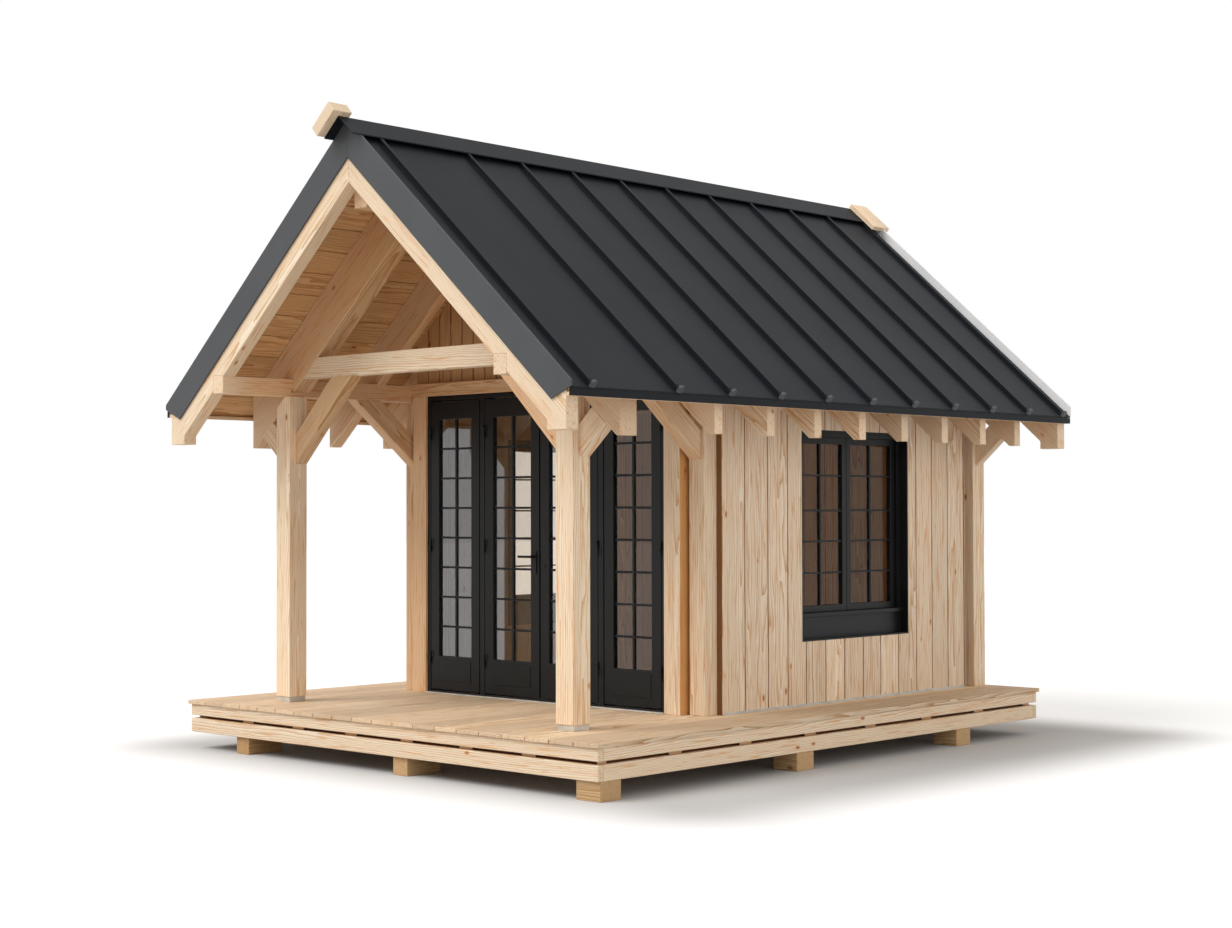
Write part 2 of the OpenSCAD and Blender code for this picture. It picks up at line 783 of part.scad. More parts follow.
// A glazed leaf that hangs from its axis at x = 0 and reaches towards -X
module leaf(width) {
    x0 = -hinge_gap / 2 - width;
    x1 = -hinge_gap / 2;
    along_y(frame_front, leaf_back) difference() {
        translate([x0, leaf_z]) square([width, leaf_top - leaf_z]);
        translate([x0 + stile_w, leaf_z + bottom_rail_h])
            square([width - stile_w * 2, leaf_top - leaf_z - bottom_rail_h - top_rail_h]);
    }
    mirror([1, 0, 0]) for (i = [0 : hinge_count - 1]) hinge_half(hinge_z(i));
}

module leaf_glass(width) {
    middle = (frame_front + leaf_back) / 2;
    block([-hinge_gap / 2 - width + stile_w, middle - glass_t / 2, leaf_z + bottom_rail_h],
          [-hinge_gap / 2 - stile_w, middle + glass_t / 2, leaf_top - top_rail_h]);
}

module outer_right_leaf() color(black_paint) translate([outer_axis, 0, 0]) leaf(outer_leaf_w);

module outer_left_leaf() mirror([1, 0, 0]) outer_right_leaf();

module inner_right_leaf() color(black_paint) translate([inner_axis, 0, 0]) leaf(inner_leaf_w);

module inner_left_leaf() mirror([1, 0, 0]) inner_right_leaf();

module outer_right_glass() color(glass_tint) translate([outer_axis, 0, 0]) leaf_glass(outer_leaf_w);

module outer_left_glass() mirror([1, 0, 0]) outer_right_glass();

module inner_right_glass() color(glass_tint) translate([inner_axis, 0, 0]) leaf_glass(inner_leaf_w);

module inner_left_glass() mirror([1, 0, 0]) inner_right_glass();

// Lever on its plate, on the meeting stile of the inner left leaf
module lever(face, out) {
    x = -leaf_gap * 3 / 4 - stile_w / 2;
    z = deck_top + lever_z;
    block([x - rose_w / 2, min(face, face + out * rose_t), z - rose_h * 3 / 4],
          [x + rose_w / 2, max(face, face + out * rose_t), z + rose_h / 4]);
    translate([x, face, z]) rotate([-out * 90, 0, 0]) cylinder(h = lever_reach, r = lever_r);
    translate([x, face + out * (lever_reach - lever_r), z]) rotate([0, -90, 0]) cylinder(h = lever_l, r = lever_r);
}

module door_handle() color(black_paint) {
    lever(frame_front, -1);
    lever(leaf_back, 1);
}

foot_blocks();
lower_rim();
rim_spacers();
upper_rim();
deck();
post_shoes();
porch_posts();
front_corner_posts();
rear_posts();
wall_plates();
tie_beam();
tie_braces();
plate_braces();
outward_struts();
front_gable_rafters();
porch_rafters();
common_rafters();
rear_truss_rafters();
rear_gable_rafters();
ridge_beam();
roof_boards_left();
roof_boards_right();
roof_metal_left();
roof_metal_right();
ridge_cap();
front_verge_flashing();
rear_verge_flashing();
eaves_trim();
ridge_saddle_boards();
front_wall_left();
front_wall_right();
door_head_casing();
front_gable_wall();
left_wall();
right_wall();
rear_wall();
window_frames();
window_sashes();
window_glass();
door_frame();
outer_left_leaf();
inner_left_leaf();
inner_right_leaf();
outer_right_leaf();
outer_left_glass();
inner_left_glass();
inner_right_glass();
outer_right_glass();
door_handle();
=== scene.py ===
import json
import math
import random

import bmesh
import bpy
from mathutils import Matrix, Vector


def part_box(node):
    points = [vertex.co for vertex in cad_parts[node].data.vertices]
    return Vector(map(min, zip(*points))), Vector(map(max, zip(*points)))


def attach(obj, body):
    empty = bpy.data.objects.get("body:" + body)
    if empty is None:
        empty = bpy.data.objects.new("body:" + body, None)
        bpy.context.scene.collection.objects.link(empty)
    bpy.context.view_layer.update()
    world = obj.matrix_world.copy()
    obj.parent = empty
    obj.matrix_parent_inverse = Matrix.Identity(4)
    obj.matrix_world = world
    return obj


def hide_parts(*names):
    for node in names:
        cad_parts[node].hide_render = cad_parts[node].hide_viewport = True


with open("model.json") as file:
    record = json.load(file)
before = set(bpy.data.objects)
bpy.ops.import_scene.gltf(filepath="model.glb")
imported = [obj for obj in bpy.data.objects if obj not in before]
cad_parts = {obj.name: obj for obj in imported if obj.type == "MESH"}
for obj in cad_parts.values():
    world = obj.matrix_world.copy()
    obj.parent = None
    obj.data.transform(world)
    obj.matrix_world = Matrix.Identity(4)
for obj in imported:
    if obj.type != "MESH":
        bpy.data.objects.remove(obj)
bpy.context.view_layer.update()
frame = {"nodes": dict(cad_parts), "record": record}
nodes = frame["nodes"]
bodyOf = {node: body for body, members in frame["record"]["behaviour"]["bodies"].items() for node in members}
dice = random.Random(41)
mm = 0.001
xAxis, yAxis, zAxis = Vector((1, 0, 0)), Vector((0, 1, 0)), Vector((0, 0, 1))
white = (1.0, 1.0, 1.0, 1.0)
leaves = ("outer_left", "inner_left", "inner_right", "outer_right")
print("frame loaded:", len(nodes), "nodes")


def linear(hexColour):
    parts = [int(hexColour[i:i + 2], 16) / 255 for i in (1, 3, 5)]
    return tuple(p / 12.92 if p <= 0.04045 else ((p + 0.055) / 1.055) ** 2.4 for p in parts) + (1.0,)


def addNode(material, kind, settings=None, links=None):
    node = material.node_tree.nodes.new(kind)
    for key, value in (settings or {}).items():
        if key == "stops":  # colour ramp, as place and hex
            ramp = node.color_ramp
            while len(ramp.elements) < len(value):
                ramp.elements.new(0.5)
            for element, (place, colour) in zip(ramp.elements, value):
                element.position, element.color = place, linear(colour)
        elif isinstance(key, int) or key in node.inputs:
            node.inputs[key].default_value = value
        else:
            setattr(node, key, value)
    for key, socket in (links or {}).items():
        material.node_tree.links.new(socket, node.inputs[key])
    return node


def newMaterial(name, values):
    material = bpy.data.materials.new(name)
    material.use_nodes = True
    shader = material.node_tree.nodes["Principled BSDF"]
    for key, value in values.items():
        shader.inputs[key].default_value = value
    return material, shader


# Softwood, sawn and planed: growth rings along each timber, fine fibre, resin streaks, pitch pockets and a
# few knots, with painted shade multiplied in by each point's share; pairs in mm are along and across the
# grain
woodFigure = {
    "ior": 1.5,
    "wanderMm": (900, 90), "fibreMm": (110, 3), "streakMm": (700, 38), "pocketMm": (240, 13),
    "knotAcrossMm": 82, "knotEdge": (0.2, 0.1), "knotShare": 0.9, "knotHeart": (0.05, 0.13),
    "ringStops": (0.0, 0.62, 0.97, 1.0), "ringWave": 0.6, "ringHeight": 0.5,
    "streakEdge": (0.56, 0.74), "pocketEdge": (0.585, 0.69), "pocketShare": 1.4,
    "fibreEdge": (0.3, 0.7), "fibreLift": (0.9, 1.07), "roughSwing": (-0.08, 0.1), "bump": 0.35,
    "shadePainted": "#ecc591"}


def softwood(name, look):
    material, shader = newMaterial(name, {"IOR": woodFigure["ior"]})
    link = material.node_tree.links.new
    grain = addNode(material, "ShaderNodeAttribute", {"attribute_name": "grain"}).outputs["Vector"]
    tone = addNode(material, "ShaderNodeAttribute", {"attribute_name": "tone"}).outputs["Fac"]
    shelter = addNode(material, "ShaderNodeAttribute", {"attribute_name": "shelter"}).outputs["Fac"]

    def spread(alongMm, acrossMm):  # grain space with one unit to that size
        size = (1 / (alongMm * mm), 1 / (acrossMm * mm), 1 / (acrossMm * mm))
        scaled = addNode(material, "ShaderNodeVectorMath", {"operation": "MULTIPLY", 1: size}, {0: grain})
        return scaled.outputs[0]

    drift = addNode(material, "ShaderNodeTexNoise", {"Scale": 1.0, "Detail": 2.0},
                    {"Vector": spread(*woodFigure["wanderMm"])})
    centred = addNode(material, "ShaderNodeVectorMath", {"operation": "SUBTRACT", 1: (0.5, 0.5, 0.5)},
                      {0: drift.outputs["Color"]})
    shift = addNode(material, "ShaderNodeVectorMath", {"operation": "SCALE", "Scale": look["driftMm"] * mm},
                    {0: centred.outputs[0]})
    moved = addNode(material, "ShaderNodeVectorMath", {"operation": "ADD"}, {0: grain, 1: shift.outputs[0]})
    ringScale = 2 * math.pi / (20 * look["ringMm"] * mm)  # the wave repeats 20 times in 2 pi units at scale 1
    rings = addNode(material, "ShaderNodeTexWave",
                    {"wave_type": "RINGS", "rings_direction": "X", "wave_profile": "SAW", "Scale": ringScale,
                     "Distortion": woodFigure["ringWave"], "Detail": 1.0},
                    {"Vector": moved.outputs[0]})
    fibre = addNode(material, "ShaderNodeTexNoise", {"Scale": 1.0, "Detail": 4.0, "Roughness": 0.6},
                    {"Vector": spread(*woodFigure["fibreMm"])})
    streak = addNode(material, "ShaderNodeTexNoise", {"Scale": 1.0, "Detail": 3.0},
                     {"Vector": spread(*woodFigure["streakMm"])})
    pocket = addNode(material, "ShaderNodeTexNoise", {"Scale": 1.0, "Detail": 2.0},
                     {"Vector": spread(*woodFigure["pocketMm"])})
    knot = addNode(material, "ShaderNodeTexVoronoi", {"Scale": 1.0},
                   {"Vector": spread(look["knotGapMm"], woodFigure["knotAcrossMm"])})

    ringHues = (look["early"], look["mid"], look["late"], look["early"])
    ringStops = list(zip(woodFigure["ringStops"], ringHues))
    ringColour = addNode(material, "ShaderNodeValToRGB", {"stops": ringStops}, {"Fac": rings.outputs["Fac"]})
    edge = woodFigure["streakEdge"]
    streakMask = addNode(material, "ShaderNodeMapRange",
                         {"From Min": edge[0], "From Max": edge[1], "To Max": look["streak"]},
                         {"Value": streak.outputs["Fac"]})
    resin = addNode(material, "ShaderNodeMix", {"data_type": "RGBA", 7: linear(look["resin"])},
                    {0: streakMask.outputs[0], 6: ringColour.outputs["Color"]})
    edge = woodFigure["pocketEdge"]
    pocketMask = addNode(material, "ShaderNodeMapRange",
                         {"From Min": edge[0], "From Max": edge[1],
                          "To Max": look["streak"] * woodFigure["pocketShare"]},
                         {"Value": pocket.outputs["Fac"]})
    pitch = addNode(material, "ShaderNodeMix", {"data_type": "RGBA", 7: linear(look["resin"])},
                    {0: pocketMask.outputs[0], 6: resin.outputs[2]})
    edge, level = woodFigure["fibreEdge"], woodFigure["fibreLift"]
    fibreLift = addNode(material, "ShaderNodeMapRange",
                        {"From Min": edge[0], "From Max": edge[1], "To Min": level[0], "To Max": level[1]},
                        {"Value": fibre.outputs["Fac"]})
    toneLift = addNode(material, "ShaderNodeMapRange", {"To Min": look["tone"][0], "To Max": look["tone"][1]},
                       {"Value": tone})
    lift = addNode(material, "ShaderNodeMath", {"operation": "MULTIPLY"},
                   {0: fibreLift.outputs[0], 1: toneLift.outputs[0]})
    lifted = addNode(material, "ShaderNodeVectorMath", {"operation": "SCALE"},
                     {0: pitch.outputs[2], "Scale": lift.outputs[0]})
    edge = woodFigure["knotEdge"]
    spot = addNode(material, "ShaderNodeMapRange",
                   {"From Min": edge[0], "From Max": edge[1], "To Max": woodFigure["knotShare"]},
                   {"Value": knot.outputs["Distance"]})
    heartStops = list(zip(woodFigure["knotHeart"], (look["knot"], look["resin"])))
    heart = addNode(material, "ShaderNodeValToRGB", {"stops": heartStops}, {"Fac": knot.outputs["Distance"]})
    rare = addNode(material, "ShaderNodeMath", {"operation": "GREATER_THAN", 1: look["knotRare"]},
                   {0: knot.outputs["Color"]})
    knotMask = addNode(material, "ShaderNodeMath", {"operation": "MULTIPLY"},
                       {0: spot.outputs[0], 1: rare.outputs[0]})
    knotted = addNode(material, "ShaderNodeMix", {"data_type": "RGBA"},
                      {0: knotMask.outputs[0], 6: lifted.outputs[0], 7: heart.outputs["Color"]})
    # painted shade: the wood turns darker and warmer towards the shade tint by each point's share
    shadeTinted = addNode(material, "ShaderNodeMix",
                     {"data_type": "RGBA", "blend_type": "MULTIPLY", 7: linear(woodFigure["shadePainted"])},
                     {0: shelter, 6: knotted.outputs[2]})
    link(shadeTinted.outputs[2], shader.inputs["Base Color"])

    swing = woodFigure["roughSwing"]
    rough = addNode(material, "ShaderNodeMapRange",
                    {"To Min": look["rough"] + swing[0], "To Max": look["rough"] + swing[1]},
                    {"Value": fibre.outputs["Fac"]})
    link(rough.outputs[0], shader.inputs["Roughness"])
    height = addNode(material, "ShaderNodeMath", {"operation": "MULTIPLY_ADD", 1: woodFigure["ringHeight"]},
                     {0: rings.outputs["Fac"], 2: fibre.outputs["Fac"]})
    bump = addNode(material, "ShaderNodeBump",
                   {"Strength": woodFigure["bump"], "Distance": look["bumpMm"] * mm},
                   {"Height": height.outputs[0]})
    link(bump.outputs[0], shader.inputs["Normal"])
    return material


# Planed spruce of the frame: creamy, with honey latewood lines a few millimetres apart
planedSpruce = softwood("planedSpruce", {
    "early": "#f4e4cd", "mid": "#edd6b8", "late": "#cea675", "resin": "#dba067", "knot": "#8a5227",
    "ringMm": 9, "driftMm": 46, "knotGapMm": 170, "knotRare": 0.76, "tone": (0.94, 1.09),
    "streak": 0.5, "rough": 0.6, "bumpMm": 0.6})

# Foot blocks sawn from sleepers: rougher, and browner and darker as painted shade from the deck above them
sawnSleeper = softwood("sawnSleeper", {
    "early": "#d9bd94", "mid": "#cbab7f", "late": "#a47c4e", "resin": "#ad7a46", "knot": "#6b4223",
    "ringMm": 10, "driftMm": 46, "knotGapMm": 170, "knotRare": 0.8, "tone": (0.88, 1.05),
    "streak": 0.5, "rough": 0.72, "bumpMm": 0.9})

# Deck boards: flat sawn softwood, worn dry underfoot, with a clear change from board to board
deckSoftwood = softwood("deckSoftwood", {
    "early": "#f0dcc1", "mid": "#e4c8a4", "late": "#b98c5e", "resin": "#cc9760", "knot": "#875b3c",
    "ringMm": 11, "driftMm": 60, "knotGapMm": 220, "knotRare": 0.86, "tone": (0.8, 1.08),
    "streak": 0.55, "rough": 0.68, "bumpMm": 0.8})

# Wall boards: flat sawn, so wider figure, more knots and more change from board to board than the frame
sawnBoarding = softwood("sawnBoarding", {
    "early": "#f1e1cc", "mid": "#e8d2b6", "late": "#c79f74", "resin": "#d2945a", "knot": "#84491f",
    "ringMm": 13, "driftMm": 70, "knotGapMm": 170, "knotRare": 0.76, "tone": (0.9, 1.12),
    "streak": 0.6, "rough": 0.62, "bumpMm": 0.7})

# Roof and gable boards and the walls' lining: rough sawn, and a deeper honey brown as painted shade under the
# roof and inside the cabin
soffitBoarding = softwood("soffitBoarding", {
    "early": "#e2bb8a", "mid": "#d7a973", "late": "#bb8a57", "resin": "#bf793e", "knot": "#5f3519",
    "ringMm": 12, "driftMm": 70, "knotGapMm": 180, "knotRare": 0.78, "tone": (0.84, 1.06),
    "streak": 0.22, "rough": 0.7, "bumpMm": 0.8})

# Tongues behind the wall boards and packers in the deck: dark brown as painted shade in the joints and the
# gap, so that joints read as lines
gapShadeWood = softwood("gapShadeWood", {
    "early": "#8f6339", "mid": "#80542d", "late": "#6a421f", "resin": "#74451e", "knot": "#3f2410",
    "ringMm": 12, "driftMm": 70, "knotGapMm": 180, "knotRare": 0.86, "tone": (0.9, 1.05),
    "streak": 0.4, "rough": 0.75, "bumpMm": 0.8})

# Sheet with a baked coating: satin, a faint orange peel and a trace of dust
coating = {"dustEdge": (0.3, 0.7), "peelDeep": 0.4 * mm}


def coatedSheet(name, look):
    material, shader = newMaterial(name, {
        "Metallic": look["metallic"], "Specular IOR Level": look["specular"]})
    link = material.node_tree.links.new
    place = addNode(material, "ShaderNodeTexCoord").outputs["Object"]
    dust = addNode(material, "ShaderNodeTexNoise", {"Scale": 1 / (look["dustMm"] * mm), "Detail": 5.0},
                   {"Vector": place})
    peel = addNode(material, "ShaderNodeTexNoise", {"Scale": 1 / (look["peelMm"] * mm), "Detail": 2.0},
                   {"Vector": place})
    hues = list(zip(coating["dustEdge"], (look["dark"], look["light"])))
    colour = addNode(material, "ShaderNodeValToRGB", {"stops": hues}, {"Fac": dust.outputs["Fac"]})
    rough = addNode(material, "ShaderNodeMapRange", {"To Min": look["rough"][0], "To Max": look["rough"][1]},
                    {"Value": dust.outputs["Fac"]})
    bump = addNode(material, "ShaderNodeBump", {"Strength": look["peel"], "Distance": coating["peelDeep"]},
                   {"Height": peel.outputs["Fac"]})
    link(colour.outputs["Color"], shader.inputs["Base Color"])
    link(rough.outputs[0], shader.inputs["Roughness"])
    link(bump.outputs[0], shader.inputs["Normal"])
    return material


# Roll-formed steel with a charcoal coating: near black with a blue cast and a broad dull sheen
charcoalSteel = coatedSheet("charcoalSteel", {
    "dark": "#0c0f13", "light": "#12161c", "rough": (0.46, 0.6), "metallic": 0.0, "specular": 0.16,
    "dustMm": 420, "peelMm": 14, "peel": 0.12})

# Folded steel flashing in mid grey: lighter than the roof, with a little more sheen
greyFlashing = coatedSheet("greyFlashing", {
    "dark": "#414346", "light": "#4a4c4f", "rough": (0.48, 0.6), "metallic": 0.0, "specular": 0.4,
    "dustMm": 350, "peelMm": 14, "peel": 0.08})

# The same flashing coated white, at the rear: bright with a faint grey cloud
whiteFlashing = coatedSheet("whiteFlashing", {
    "dark": "#e2e3e5", "light": "#efeff0", "rough": (0.45, 0.58), "metallic": 0.0, "specular": 0.5,
    "dustMm": 350, "peelMm": 40, "peel": 0.02})

# Galvanised sheet, mill finish: pale grey with a soft metallic glint
galvanisedSheet = coatedSheet("galvanisedSheet", {
    "dark": "#b9b4ab", "light": "#d3cfc7", "rough": (0.38, 0.55), "metallic": 0.35, "specular": 0.5,
    "dustMm": 60, "peelMm": 18, "peel": 0.1})

# Sprayed joinery paint: black and satin, with the faint unevenness of the timber below
blackJoinery = coatedSheet("blackJoinery", {
    "dark": "#0f1011", "light": "#161718", "rough": (0.34, 0.46), "metallic": 0.0, "specular": 0.22,
    "dustMm": 240, "peelMm": 9, "peel": 0.12})

# Forged iron, blacked: a harder, more metallic glint than the paint
blackIron = coatedSheet("blackIron", {
    "dark": "#121314", "light": "#1c1d1e", "rough": (0.3, 0.5), "metallic": 0.6, "specular": 0.5,
    "dustMm": 40, "peelMm": 4, "peel": 0.15})

# Float glass: clear and polished, with a slow roller wave that bends what it mirrors
rollerWave = {"strength": 0.08, "deep": 0.5 * mm}


def floatGlass(name, look):
    material, shader = newMaterial(name, {
        "Base Color": linear(look["tint"]), "Roughness": 0.0, "IOR": look["ior"], "Transmission Weight": 1.0,
        "Specular IOR Level": look["specular"]})
    place = addNode(material, "ShaderNodeTexCoord").outputs["Object"]
    wave = addNode(material, "ShaderNodeTexNoise", {"Scale": 1 / (look["waveMm"] * mm), "Detail": 0.0},
                   {"Vector": place})
    bump = addNode(material, "ShaderNodeBump",
                   {"Strength": rollerWave["strength"], "Distance": rollerWave["deep"]},
                   {"Height": wave.outputs["Fac"]})
    material.node_tree.links.new(bump.outputs[0], shader.inputs["Normal"])
    return material


# Coated panes of three door leaves: they mirror the pale room
mirrorGlass = floatGlass("mirrorGlass", {"tint": "#d6dce2", "ior": 1.85, "specular": 1.0, "waveMm": 220})

# Bloomed panes of the windows: low in reflection and faintly bronze, so the timber inside shows
clearGlass = floatGlass("clearGlass", {"tint": "#f7e6d2", "ior": 1.2, "specular": 0.3, "waveMm": 260})

# Uncoated panes of the outer right leaf: they mirror less than the rest, so the timber inside shows through
plainGlass = floatGlass("plainGlass", {"tint": "#f7e6d2", "ior": 1.45, "specular": 0.5, "waveMm": 240})
print("materials made")

# How finely solids are welded, flattened, cut and eased, with angles in radians
workshop = {"weld": 0.01 * mm, "flat": math.radians(0.5), "cut": 0.001 * mm, "sharp": 0.5, "easeSteps": 2}


def cleanCopy(node):  # the node's solid with its triangles joined into flat faces
    bm = bmesh.new()
    bm.from_mesh(nodes[node].data)
    bmesh.ops.remove_doubles(bm, verts=bm.verts, dist=workshop["weld"])
    bmesh.ops.dissolve_limit(bm, angle_limit=workshop["flat"], verts=bm.verts, edges=bm.edges)
    return bm


def cutThrough(bm, normal, place, **keep):
    bmesh.ops.bisect_plane(bm, geom=bm.verts[:] + bm.edges[:] + bm.faces[:], dist=workshop["cut"],
                           plane_co=normal * place, plane_no=normal, **keep)


def slab(source, normal, low, high):  # the part of a solid between two planes, closed again
    bm = source.copy()
    for place, keep in ((low, "clear_inner"), (high, "clear_outer")):
        cutThrough(bm, normal, place, **{keep: True})
        rim = [e for e in bm.edges if e.is_boundary]
        if rim:
            bmesh.ops.triangle_fill(bm, edges=rim, use_beauty=True, use_dissolve=True, normal=normal)
    bmesh.ops.recalc_face_normals(bm, faces=bm.faces)
    return bm


def evenCuts(first, last, count):
    return [first + i * (last - first) / count for i in range(count + 1)]


def boards(source, normal, cuts, gap):  # a solid sawn into boards with a gap between them
    lows = [cuts[0] - mm] + [cut + gap / 2 for cut in cuts[1:-1]]
    highs = [cut - gap / 2 for cut in cuts[1:-1]] + [cuts[-1] + mm]
    return [slab(source, normal, low, high) for low, high in zip(lows, highs)]


def addBox(bm, low, high):
    corners = [bm.verts.new((x, y, z))
               for x in (low[0], high[0]) for y in (low[1], high[1]) for z in (low[2], high[2])]
    for face in ((0, 1, 3, 2), (4, 6, 7, 5), (0, 4, 5, 1), (2, 3, 7, 6), (0, 2, 6, 4), (1, 5, 7, 3)):
        bm.faces.new([corners[i] for i in face])


def addLength(bm, ends):  # a closed length between two like rings of points
    count = len(ends[0])
    for i in range(count):
        j = (i + 1) % count
        bm.faces.new((ends[0][i], ends[0][j], ends[1][j], ends[1][i]))
    bm.faces.new(ends[0][::-1])
    bm.faces.new(ends[1])


def joined(parts):
    whole = bmesh.new()
    for part in parts:
        carrier = bpy.data.meshes.new("carrier")
        part.to_mesh(carrier)
        whole.from_mesh(carrier)
        bpy.data.meshes.remove(carrier)
        part.free()
    return whole


def islands(bm):  # the points of each separate solid
    bm.verts.index_update()
    left, found = set(bm.verts), []
    while left:
        stack = [left.pop()]
        island = set(stack)
        while stack:
            for edge in stack.pop().link_edges:
                for vert in edge.verts:
                    if vert not in island:
                        island.add(vert)
                        stack.append(vert)
        left -= island
        found.append(sorted(island, key=lambda v: v.index))
    return sorted(found, key=lambda verts: verts[0].index)


def softenEdges(bm, width, shortest=0.0):
    sharp = [e for e in bm.edges
             if e.is_manifold and e.calc_face_angle() > workshop["sharp"] and e.calc_length() >= shortest]
    bmesh.ops.bevel(bm, geom=sharp, offset=width, segments=workshop["easeSteps"], profile=0.5, affect="EDGES",
                    clamp_overlap=False)


# Painted shade under the roof, in metres from the middle: where it ends at the tails and the gables, and how
# slowly it fades
roofShadeReach = {"tail": 1.95, "tailFade": 0.9, "gable": 2.62, "gableFade": 0.3}


def roofShadeShare(place):  # share of painted shade at a point: less at the roof's tails and at the gable ends, and full under the deck
    if place.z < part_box("deck")[0].z:
        return 1.0
    tail = (roofShadeReach["tail"] - abs(place.x)) / roofShadeReach["tailFade"]
    gable = (roofShadeReach["gable"] - abs(place.y)) / roofShadeReach["gableFade"]
    return max(0.0, min(1.0, tail)) * max(0.0, min(1.0, gable))


# Logs that the timbers are sawn from: how far off the pith, how far out of line, and how long, in metres
logs = {"pith": (0.05, 0.26), "lean": (-0.02, 0.02), "long": 40}


def runGrain(bm, shadeShares=(0.0, 0.0)):  # each timber gets its own place in a log, grain along its longest edge, and painted shade from the left or the right share
    grain = bm.verts.layers.float_vector.new("grain")
    tone = bm.verts.layers.float.new("tone")
    shelter = bm.verts.layers.float.new("shelter")
    for verts in islands(bm):
        edges = {e for v in verts for e in v.link_edges}
        longest = max(edges, key=lambda e: (round(e.calc_length(), 4), -min(v.index for v in e.verts)))
        along = (longest.verts[1].co - longest.verts[0].co).normalized()
        side = along.orthogonal().normalized()
        other = along.cross(side)
        middle = sum((v.co for v in verts), Vector()) / len(verts)
        pith = dice.uniform(*logs["pith"])
        turn = dice.uniform(0, 2 * math.pi)
        lean = dice.uniform(*logs["lean"])
        start = dice.uniform(0, logs["long"])
        shade = dice.random()
        for vert in verts:
            offset = vert.co - middle
            u = offset.dot(along)
            vert[grain] = (u + start, offset.dot(side) + pith * math.cos(turn) + lean * u,
                           offset.dot(other) + pith * math.sin(turn))
            vert[tone] = shade
            vert[shelter] = shadeShares[vert.co.x > 0] * roofShadeShare(vert.co)


def makePiece(name, bm, material, body, replaced=()):
    mesh = bpy.data.meshes.new(name)
    bm.normal_update()
    bm.to_mesh(mesh)
    bm.free()
    mesh.materials.append(material)
    piece = bpy.data.objects.new(name, mesh)
    bpy.context.scene.collection.objects.link(piece)
    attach(piece, body)
    if replaced:
        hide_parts(*replaced)


# Frame timbers keep their CAD form, with eased arrises; the shares are how strongly painted shade darkens the
# left and the right one
frameTimber = {
    "arris": 4 * mm,
    "shadePainted": {
        "foot_blocks": (0.45, 0.2), "rim_spacers": (0.6, 0.5), "porch_posts": (0, 0),
        "front_corner_posts": (0.75, 0), "rear_posts": (0, 0), "wall_plates": (0.75, 0.75),
        "tie_beam": (0, 0), "tie_braces": (0.6, 0.6), "plate_braces": (0.7, 0.5),
        "outward_struts": (0.4, 0.1), "front_gable_rafters": (0, 0),
        "porch_rafters": (0.75, 0.75), "common_rafters": (0.7, 0.5), "rear_truss_rafters": (0.5, 0.5),
        "rear_gable_rafters": (0, 0), "ridge_beam": (0.9, 0.9), "ridge_saddle_boards": (0, 0),
        "front_wall_left": (0.55, 0.55), "front_wall_right": (0, 0), "door_head_casing": (0.9, 0.7)},
    "reveal": {"front_wall_left": -1, "front_wall_right": 1}, "revealWide": 24 * mm, "revealDeep": 118 * mm,
    "plateNose": 2.3, "spacerBack": 38 * mm}
for node, shares in frameTimber["shadePainted"].items():
    timber = cleanCopy(node)
    if node == "wall_plates":  # a ring of points near each end, so the painted shade darkens only the middle
        for place in (-frameTimber["plateNose"], frameTimber["plateNose"]):
            cutThrough(timber, yAxis, place)
    if node == "rim_spacers":  # set back into the shadow gap
        low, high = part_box(node)
        for axis, a, b in ((xAxis, low.x, high.x), (yAxis, low.y, high.y)):
            timber = slab(timber, axis, a + frameTimber["spacerBack"], b - frameTimber["spacerBack"])
    if node in frameTimber["reveal"]:  # a sunk strip between the casing and the corner post
        side = frameTimber["reveal"][node]
        low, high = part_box(node)
        outer = max(abs(low.x), abs(high.x))
        casing = slab(timber, xAxis * side, -outer, outer - frameTimber["revealWide"])
        strip = slab(timber, xAxis * side, outer - frameTimber["revealWide"], outer + mm)
        timber = joined([casing, slab(strip, yAxis, low.y + frameTimber["revealDeep"], high.y + mm)])
    softenEdges(timber, frameTimber["arris"])
    runGrain(timber, shares)
    # The sunk strip is painted in full shade.
    if node in frameTimber["reveal"]:
        shelter = timber.verts.layers.float["shelter"]
        for vert in timber.verts:
            if abs(vert.co.x) > outer - frameTimber["revealWide"] - mm:
                vert[shelter] = 1.0
    material = sawnSleeper if node == "foot_blocks" else planedSpruce
    makePiece(node + "_timber", timber, material, "shed", [node])
print("frame timbers done")

# Rims: boards butted at the corners, with joists or bearers between
rimBoards = {"thick": 45 * mm, "joint": 1.5 * mm, "arris": 4 * mm}
for node in ("lower_rim", "upper_rim"):
    low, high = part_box(node)
    inside = rimBoards["thick"] + rimBoards["joint"]
    between = slab(cleanCopy(node), yAxis, low.y + inside, high.y - inside)
    between = slab(between, xAxis, low.x + inside, high.x - inside)
    edge = bmesh.new()
    for y0, y1 in ((low.y, low.y + rimBoards["thick"]), (high.y - rimBoards["thick"], high.y)):
        addBox(edge, (low.x, y0, low.z), (high.x, y1, high.z))
    for x0, x1 in ((low.x, low.x + rimBoards["thick"]), (high.x - rimBoards["thick"], high.x)):
        addBox(edge, (x0, low.y + inside, low.z), (x1, high.y - inside, high.z))
    bmesh.ops.recalc_face_normals(edge, faces=edge.faces)
    rim = joined([edge, between])
    softenEdges(rim, rimBoards["arris"])
    runGrain(rim)
    makePiece(node + "_boards", rim, planedSpruce, "shed", [node])
